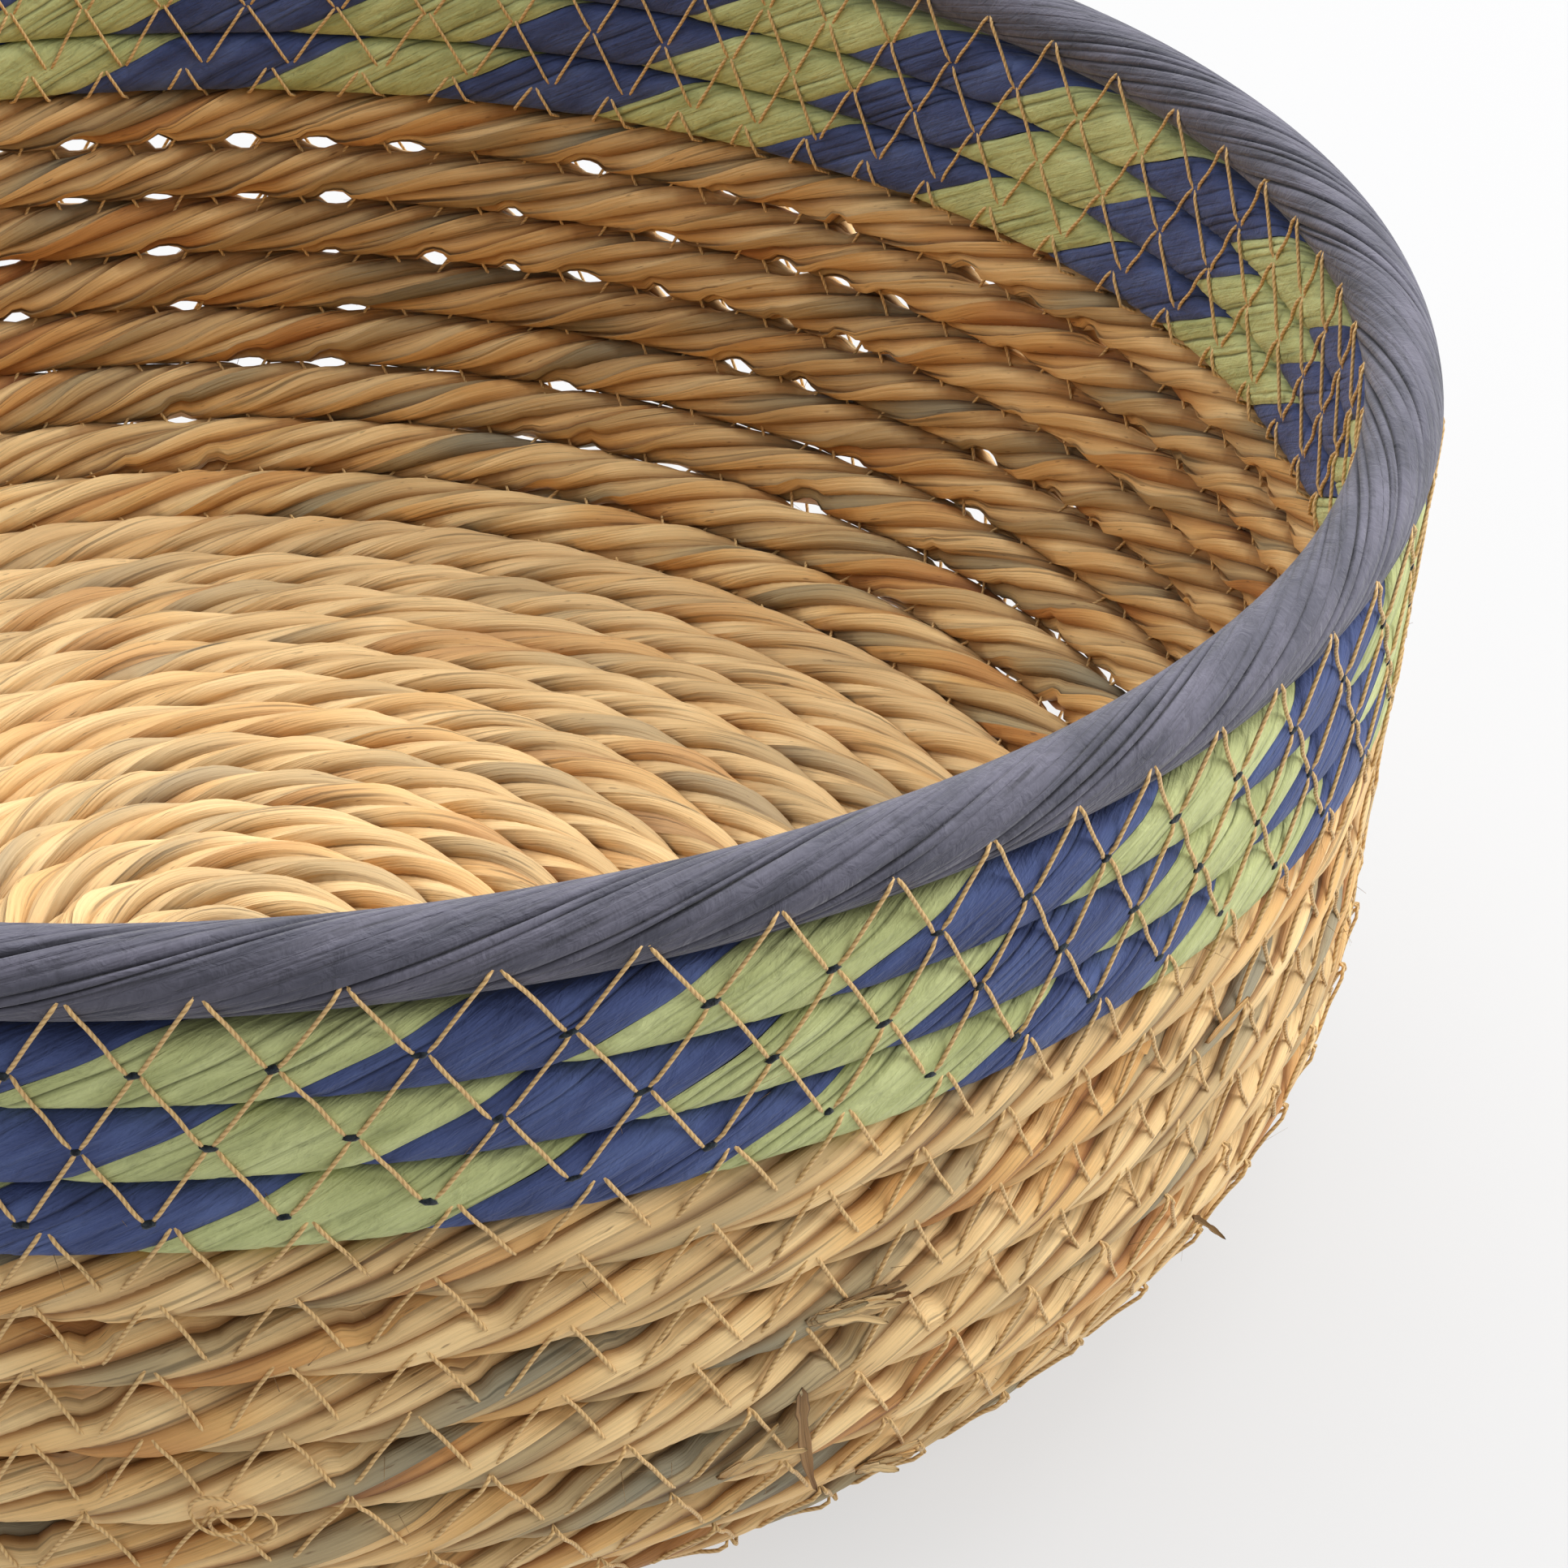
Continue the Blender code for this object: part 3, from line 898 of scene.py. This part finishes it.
def grass_finish(name, tint, painted_shade_weight, plain=0.0):
    """Dry leaf: patches of tone, long fibres, specks, and painted shade as the share map gives it:
    under lips, in grooves and between turns.
    """
    finish = Finish(name, 0.60, sheen=0.05, specular=0.3)
    share = finish.share()
    plies = finish.noise(finish.weave((14, 42)), detail=1.0)
    strips = finish.noise(finish.leaf_spots(share, 13.0, 5.3), detail=1.5)
    tone = finish.average(plies, strips, 0.5)
    base = finish.ramp(tone, (
        (0.35, linear(142, 134, 110)),
        (0.41, linear(176, 156, 116)),
        (0.46, linear(210, 176, 122)),
        (0.52, linear(238, 206, 150)),
        (0.57, linear(220, 176, 112)),
        (0.62, linear(196, 142, 82)),
        (0.67, linear(150, 104, 62)),
    ))
    base = finish.mix(base, linear(222, 184, 128), plain)
    streaks = finish.noise(finish.weave((55, 2400)), detail=4.0, roughness=0.65)
    lines = finish.ramp(streaks, (
        (0.28, grey(0.30)), (0.40, grey(0.80)), (0.56, grey(1.0)), (0.80, grey(0.92)),
    ))
    fibres = finish.mix(base, lines, 0.72, "MULTIPLY")
    veins = finish.noise(finish.weave((28, 1000)), detail=2.0, roughness=0.4)
    vein_shades = finish.ramp(veins, ((0.30, grey(0.45)), (0.37, grey(1.0))))
    fibres = finish.mix(fibres, vein_shades, 0.85, "MULTIPLY")
    specks = finish.noise(finish.weave((260, 1500)), detail=2.0)
    spots = finish.ramp(specks, ((0.68, grey(0.0)), (0.75, grey(0.6))))
    specked = finish.mix(fibres, linear(96, 66, 40), spots)
    # Painted shade: the share map's second value darkens the leaf where it lies in shade.
    shaded = ((0.0, linear(70, 50, 32)), (0.45, linear(176, 150, 122)), (0.9, grey(1.0)))
    edges = finish.ramp(share.outputs["Y"], shaded)
    tinted = finish.mix(specked, (*tint, 1.0), 1.0, "MULTIPLY")
    finish.colour(finish.mix(tinted, edges, painted_shade_weight, "MULTIPLY"))
    ribbed = finish.bump(streaks, 0.55, 0.0005)
    finish.normal(finish.bump(veins, 0.5, 0.0006, ribbed))
    return finish.material


def paper_finish(name, light, middle, dark, crease=0.6, sheen=0.1):
    """Twisted paper: cloudy colour, fine creases, crinkles, and painted shade in the pleats' folds
    and on the hollow inner side.
    """
    finish = Finish(name, 0.72, sheen=sheen, specular=0.25)
    share = finish.share()
    cloud = finish.noise(finish.weave((70, 220)), detail=3.0)
    base = finish.ramp(cloud, ((0.30, dark), (0.5, middle), (0.70, light)))
    lines = finish.noise(finish.weave((40, 1300)), detail=3.0, roughness=0.6, distortion=0.3)
    shades = finish.ramp(lines, ((0.30, grey(0.30)), (0.39, grey(0.80)), (0.5, grey(1.0))))
    lined = finish.mix(base, shades, crease, "MULTIPLY")
    pulp = finish.noise(finish.weave((1800, 1800)), detail=2.0)
    grain = finish.ramp(pulp, ((0.3, grey(0.84)), (0.7, grey(1.0))))
    grained = finish.mix(lined, grain, 0.5, "MULTIPLY")
    crinkle = finish.noise(finish.weave((330, 620)), detail=3.0, roughness=0.6, distortion=0.8)
    mottle = finish.ramp(crinkle, ((0.30, grey(0.74)), (0.48, grey(0.96)), (0.7, grey(1.0))))
    mottled = finish.mix(grained, mottle, 0.8, "MULTIPLY")
    # Painted shade from the share map: darker where a pleat is sunk, darkest on a ply's hollow
    # inner side.
    sunk = finish.ramp(share.outputs["Y"], (
        (0.10, grey(1.0)), (0.45, grey(0.72)), (1.0, grey(0.36)),
    ))
    finish.colour(finish.mix(mottled, sunk, 0.9, "MULTIPLY"))
    rough = finish.bump(pulp, 0.18, 0.0003)
    puckered = finish.bump(crinkle, 0.55, 0.0009, rough)
    finish.normal(finish.bump(lines, 0.6, 0.0006, puckered))
    return finish.material


def thread_finish():
    """Two strands of pale brown thread twisted together."""
    finish = Finish("sewing_thread", 0.55, sheen=0.15, specular=0.3)
    wave = finish.node("ShaderNodeTexWave", wave_type="BANDS", bands_direction="DIAGONAL")
    wave.inputs["Scale"].default_value = 0.6283
    wave.inputs["Distortion"].default_value = 0.4
    finish.link(finish.weave((1100, 2)), wave.inputs["Vector"])
    twist = finish.ramp(wave.outputs["Fac"], (
        (0.0, linear(180, 142, 90)),
        (0.35, linear(210, 172, 114)),
        (1.0, linear(222, 186, 128)),
    ))
    finish.colour(twist)
    finish.normal(finish.bump(wave.outputs["Fac"], 0.35, 0.00015))
    return finish.material


def needle_hole_shade_finish():
    """Painted shade of a needle hole in paper: dark, with a fuzzy edge."""
    finish = Finish("needle_hole_painted_shade", 0.9, sheen=0.2, specular=0.1)
    fuzz = finish.noise(finish.solid_place(), scale=1500.0, detail=2.0)
    finish.colour(finish.ramp(fuzz, ((0.35, linear(16, 20, 26)), (0.7, linear(48, 56, 62)))))
    finish.normal(finish.bump(fuzz, 0.8, 0.0004))
    return finish.material


# ---------------------------------------------------------------- pieces
def build_rope(finish, pale):
    stretches = [("floor_coil", MIDDLE_START, FLOOR_TURNS, FLOOR_STEP)]
    for index in range(CORNER_TURNS):
        start = FLOOR_TURNS + index
        stretches.append((f"corner_rope_turn_{index + 1}", start, start + 1, CORNER_STEP))
    for index in range(WALL_TURNS):
        start = FLOOR_TURNS + CORNER_TURNS + index
        stretches.append((f"wall_rope_turn_{index + 1}", start, start + 1, WALL_STEP))
    for node, start, end, step in stretches:
        for side in range(ROPE_PLIES):
            mesh = rope_ply(start, end, side, step)
            # The floor and its first corner turns take a lit copy of the leaf, with less painted
            # shade.
            coat = pale if start < FLOOR_TURNS + LIT_FLOOR_CORNER_TURNS else finish
            finished(f"{node}_leaf_ply_{side + 1}", mesh, coat, "natural_grass", node)


def build_band(blue, green):
    for row in range(BAND_TURNS):
        for side, (word, finish) in enumerate((("blue", blue), ("green", green))):
            mesh = band_ply(row, side)
            node = f"band_cord_{row + 1}_{word}_ply"
            finished(f"band_paper_{row + 1}_{word}", mesh, finish, f"{word}_paper", node)


def build_stitches(finish):
    """A zigzag on the outside of every seam, and one inside wherever it can be seen."""
    rng = np.random.default_rng(5)
    for seam in range(1, RIM_START):
        row = seam - NATURAL_TURNS + 1
        nodes = []
        if 0 <= row < BAND_TURNS:
            nodes = [f"band_seam_thread_{row + 1}"]
        if seam == RIM_START - 1:
            nodes = ["rim_seam_thread"]
        outside = thread_sheet(seam_stitches(seam, False, 9, rng), 6)
        finished(f"outside_stitches_{seam}", outside, finish, "sewing_thread", *nodes)
        if seam > FLOOR_TURNS:
            samples, sides = (9, 6) if row >= 0 else (6, 5)
            inside = thread_sheet(seam_stitches(seam, True, samples, rng), sides)
            finished(f"inside_stitches_{seam}", inside, finish, "sewing_thread")


def build_needle_hole_shade(finish):
    rng = np.random.default_rng(9)
    for row in range(BAND_TURNS):
        # Painted shade of the needle holes on each band row.
        mesh = needle_hole_shade(NATURAL_TURNS + row, rng)
        finished(f"needle_hole_shade_{row + 1}", mesh, finish, "blue_paper")


def build_loose_bits(dry, straw, thread):
    """Torn tips, frayed scraps, a stray loop of thread and fuzz on the outside of the rope."""
    rng = np.random.default_rng(21)
    coats = {"dry": dry, "straw": straw}
    number = 0
    for turn, word, count, reach, width, lift, heading, spread in LOOSE_BITS:
        for _ in range(count):
            number += 1
            place = turn + 0.0022 * (rng.random() - 0.5) * (count > 1)
            course = heading + spread * (rng.random() - 0.5)
            size = reach * rng.uniform(0.7, 1.1), width * rng.uniform(0.6, 1.1)
            mesh = loose_bit(place, course, *size, lift * rng.uniform(0.5, 1.2), rng)
            finished(f"loose_leaf_{number}", mesh, coats[word], "natural_grass")
    loop = np.linspace(0, 1, 60)
    swing = 2.2 * TAU * loop
    along = 0.0045 * loop + 0.0030 * np.cos(swing)
    up = 0.0022 * np.sin(swing) - 0.004 * loop
    points = on_wall(STRAY_LOOP_TURN, along, up, 0.0058 + 0.0006 * np.sin(1.7 * swing))
    stray = thread_sheet(points, 6, STRAY_THREAD_RADIUS)
    finished("stray_thread_loop", stray, thread, "sewing_thread")
    finished("fuzz_hairs", fuzz(rng), straw, "natural_grass")


def build_basket():
    grass = grass_finish("twisted_leaf", (1.12, 1.10, 1.09), 0.92)
    # A lit copy of the leaf for the floor: less than half the painted shade, a flatter tone and a
    # cooler tint.
    lit_floor_grass = grass_finish("lit_floor_twisted_leaf", (1.12, 1.12, 1.17), 0.42, 0.40)
    dry = grass_finish("dry_brown_leaf", (0.42, 0.34, 0.27), 0.9)
    blue = paper_finish(
        "blue_paper", linear(82, 98, 146), linear(66, 80, 127), linear(52, 64, 106),
    )
    green = paper_finish(
        "green_paper", linear(206, 212, 150), linear(190, 196, 134), linear(168, 174, 114),
    )
    slate = paper_finish(
        "slate_paper", linear(100, 98, 112), linear(85, 84, 97), linear(66, 66, 78), 0.85, 0.2,
    )
    thread = thread_finish()
    build_needle_hole_shade(needle_hole_shade_finish())
    build_rope(grass, lit_floor_grass)
    build_band(blue, green)
    finished("rim_paper_cord", rim_sheet(), slate, "slate_paper", "rim_cord")
    build_stitches(thread)
    build_loose_bits(dry, grass, thread)


# ---------------------------------------------------------------- floor, light and camera
GROUND_SIZE = 4.0
GROUND_COLOUR = (0.15, 0.15, 0.152, 1.0)
GROUND_GLOW = 0.61  # keeps its shadows pale
WORLD_STRENGTH = 0.48
# Name, place, what it points at, size and power
SOFTBOXES = (
    ("overhead_softbox", (0.35, 0.9, 2.4), (0.0, 0.1, 0.0), 3.0, 98.0),
    ("right_softbox", (1.7, -0.1, 1.3), (0.0, 0.0, 0.0), 1.4, 34.0),
    ("left_softbox", (-1.6, 0.3, 0.8), (0.0, 0.0, 0.05), 1.2, 8.0),
)
CAMERA_PLACE = Vector((0.0, -0.5677, 0.3846))
CAMERA_YAW = 0.1525
CAMERA_PITCH = 0.5462
CAMERA_ROLL = 0.0358
CAMERA_LENS = 105.5
WHITE = (1.0, 1.0, 1.0, 1.0)


def plain_material(name, colour, roughness, glow=0.0):
    made = bpy.data.materials.new(name)
    made.use_nodes = True
    shader = made.node_tree.nodes["Principled BSDF"]
    shader.inputs["Base Color"].default_value = colour
    shader.inputs["Roughness"].default_value = roughness
    shader.inputs["Emission Color"].default_value = WHITE
    shader.inputs["Emission Strength"].default_value = glow
    return made


def build_stage():
    shape = bmesh.new()
    bmesh.ops.create_grid(shape, x_segments=1, y_segments=1, size=GROUND_SIZE)
    bmesh.ops.translate(shape, vec=(0.0, 0.0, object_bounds()[0].z), verts=shape.verts)
    mesh = bpy.data.meshes.new("studio_floor")
    shape.to_mesh(mesh)
    shape.free()
    mesh.materials.append(plain_material("studio_white", GROUND_COLOUR, 0.8, GROUND_GLOW))
    ground = bpy.data.objects.new("studio_floor", mesh)
    bpy.context.scene.collection.objects.link(ground)


def area_light(name, place, target, size, power):
    lamp = bpy.data.lights.new(name, "AREA")
    lamp.shape = "SQUARE"
    lamp.size = size
    lamp.energy = power
    holder = bpy.data.objects.new(name, lamp)
    holder.location = place
    direction = Vector(target) - Vector(place)
    holder.rotation_euler = direction.to_track_quat("-Z", "Y").to_euler()
    bpy.context.scene.collection.objects.link(holder)


def build_light():
    world = bpy.data.worlds.new("studio")
    world.use_nodes = True
    world.node_tree.nodes["Background"].inputs["Color"].default_value = WHITE
    world.node_tree.nodes["Background"].inputs["Strength"].default_value = WORLD_STRENGTH
    bpy.context.scene.world = world
    for softbox in SOFTBOXES:
        area_light(*softbox)
    bpy.context.scene.view_settings.view_transform = "Standard"


def build_camera():
    lens = bpy.data.cameras.new("camera")
    lens.lens = CAMERA_LENS
    lens.sensor_width = 36.0
    lens.clip_start = 0.01
    holder = bpy.data.objects.new("camera", lens)
    forward = Vector((
        math.sin(CAMERA_YAW) * math.cos(CAMERA_PITCH),
        math.cos(CAMERA_YAW) * math.cos(CAMERA_PITCH),
        -math.sin(CAMERA_PITCH),
    ))
    right = Vector((math.cos(CAMERA_YAW), -math.sin(CAMERA_YAW), 0.0))
    up = right.cross(forward)
    tilted_right = right * math.cos(CAMERA_ROLL) + up * math.sin(CAMERA_ROLL)
    tilted_up = up * math.cos(CAMERA_ROLL) - right * math.sin(CAMERA_ROLL)
    turned = holder.matrix_world.to_3x3()
    turned.col[0], turned.col[1], turned.col[2] = tilted_right, tilted_up, -forward
    holder.matrix_world = turned.to_4x4()
    holder.location = CAMERA_PLACE
    bpy.context.scene.collection.objects.link(holder)
    bpy.context.scene.camera = holder


build_basket()
build_stage()
build_light()
build_camera()
